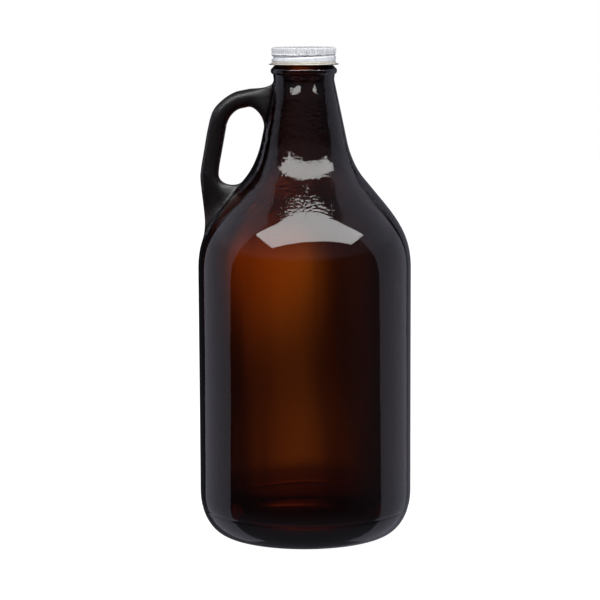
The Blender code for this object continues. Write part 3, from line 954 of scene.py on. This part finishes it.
# Each panel: its name, its place, what it faces, its width and height, its radiance and its lean.
PANELS = (
    ("left_panel", (-1.1, 0.63, -0.3), (0.0, 0.63, -0.3), 1.3, 4.6, 0.43, -12.0),
    ("right_panel", (1.1, 0.765, -0.3), (0.0, 0.765, -0.3), 1.5, 4.6, 0.375, 14.0),
    ("back_panel", (0.6, 1.6, 0.0), (0.6, 0.0, 0.0), 0.95, 4.0, 0.14, 0.0),
)


def softbox(name, place, aim, width, height, radiance, lean):
    """A rectangular, slightly blue soft light at place, facing aim and leaned in its own plane."""
    data = bpy.data.lights.new(name, "AREA")
    data.shape = "RECTANGLE"
    data.size = width
    data.size_y = height
    data.energy = radiance * math.pi * width * height
    data.color = PANEL_BLUE
    light = bpy.data.objects.new(name, data)
    bpy.context.scene.collection.objects.link(light)
    light.location = place
    light.rotation_mode = "QUATERNION"
    facing = (Vector(aim) - Vector(place)).to_track_quat("-Z", "Y")
    light.rotation_quaternion = facing @ Quaternion((0.0, 0.0, 1.0), math.radians(lean))
    light.visible_camera = False
    light.visible_transmission = False


GLOW_SIDE = 1.2
GLOW_PLACE = (0.0, 0.5, 0.05)
GLOW_BASE = 0.006
# Each glow: its middle across and up, its half widths, in metres, and its radiance.
GLOWS = (
    (-0.029, 0.125, 0.050, 0.074, 0.42),
    (-0.010, -0.050, 0.043, 0.066, 0.15),
)
# Between these heights the card dims to this share of its light.
GLOW_TOP = (0.115, 0.16)
GLOW_ABOVE = 0.1


def build_glow():
    """A dim backdrop card that is brighter behind the left of the glass, seen only through the glass."""
    bpy.ops.mesh.primitive_plane_add(size=GLOW_SIDE, location=GLOW_PLACE, rotation=(math.pi / 2, 0.0, 0.0))
    card = bpy.context.object
    card.name = "studio_glow"
    made, tree, emission = emitter("studio_glow")
    place = tree.nodes.new("ShaderNodeTexCoord")
    total = None
    for across, height, half_width, half_height, radiance in GLOWS:
        mapping = tree.nodes.new("ShaderNodeMapping")
        mapping.vector_type = "TEXTURE"
        mapping.inputs["Location"].default_value = (across, height - GLOW_PLACE[2], 0.0)
        mapping.inputs["Scale"].default_value = (half_width, half_height, 1.0)
        tree.links.new(place.outputs["Object"], mapping.inputs["Vector"])
        square = tree.nodes.new("ShaderNodeVectorMath")
        square.operation = "DOT_PRODUCT"
        tree.links.new(mapping.outputs["Vector"], square.inputs[0])
        tree.links.new(mapping.outputs["Vector"], square.inputs[1])
        falloff = maths(tree, "POWER", 1 / math.e, square.outputs["Value"])
        glow = maths(tree, "MULTIPLY", falloff, radiance)
        total = maths(tree, "ADD", glow, GLOW_BASE if total is None else total)
    across_up = tree.nodes.new("ShaderNodeSeparateXYZ")
    tree.links.new(place.outputs["Object"], across_up.inputs["Vector"])
    low, high = (height - GLOW_PLACE[2] for height in GLOW_TOP)
    below = ranged(tree, across_up.outputs["Y"], 1.0, GLOW_ABOVE, low, high)
    path = tree.nodes.new("ShaderNodeLightPath")
    through_jug = maths(tree, "GREATER_THAN", path.outputs["Transmission Depth"], BOTH_WALLS)
    seen = maths(tree, "MULTIPLY", below, through_jug)
    tree.links.new(maths(tree, "MULTIPLY", total, seen), emission.inputs["Strength"])
    card.data.materials.append(made)
    card.visible_camera = False
    card.visible_glossy = False
    card.visible_diffuse = False
    card.visible_shadow = False


BANK_HEIGHT = 1.3
BANK_RADIANCE = 7.0
BANK_CORNERS = (
    (-1.18, -1.43),
    (1.55, -0.91),
    (1.5, -0.17),
    (0.35, -0.44),
    (-0.4, -0.465),
    (-1.2, -0.42),
)


def build_bank():
    """The wide bank of light over the front of the glass, as a glowing card."""
    mesh = bpy.data.meshes.new("studio_bank")
    corners = [(x, y, BANK_HEIGHT) for x, y in BANK_CORNERS]
    mesh.from_pydata(corners, [], [tuple(range(len(corners)))])
    bank = bpy.data.objects.new("studio_bank", mesh)
    bpy.context.scene.collection.objects.link(bank)
    made, _, emission = emitter("studio_bank")
    emission.inputs["Strength"].default_value = BANK_RADIANCE
    mesh.materials.append(made)
    bank.visible_camera = False
    bank.visible_transmission = False
    bank.visible_shadow = False


def build_lights():
    """A wide bank over the front of the glass, a tall dim panel to each side that leans forward at its
    top, and a dimmer one behind on the right. The glass's reflections show them, and the camera doesn't."""
    build_bank()
    for panel in PANELS:
        softbox(*panel)


def main():
    build_camera()
    build_jug(amber_glass())
    build_cap(white_enamel(), cream_lacquer(), flange_edge_painted_shade())
    board_heights, film_heights = (BACKING_LOW.z, BACKING_HIGH.z), (FACING_LOW.z, FACING_HIGH.z)
    disc("liner_board", *board_heights, pulpboard(), "pulpboard", "liner_backing", BOARD_DISH)
    disc("liner_film", *film_heights, white_film(), "white_film", "liner_facing", FILM_DISH)
    build_floor()
    build_world()
    build_glow()
    build_lights()
    scene = bpy.context.scene
    scene.view_settings.view_transform = "Standard"
    scene.cycles.use_denoising = True


main()
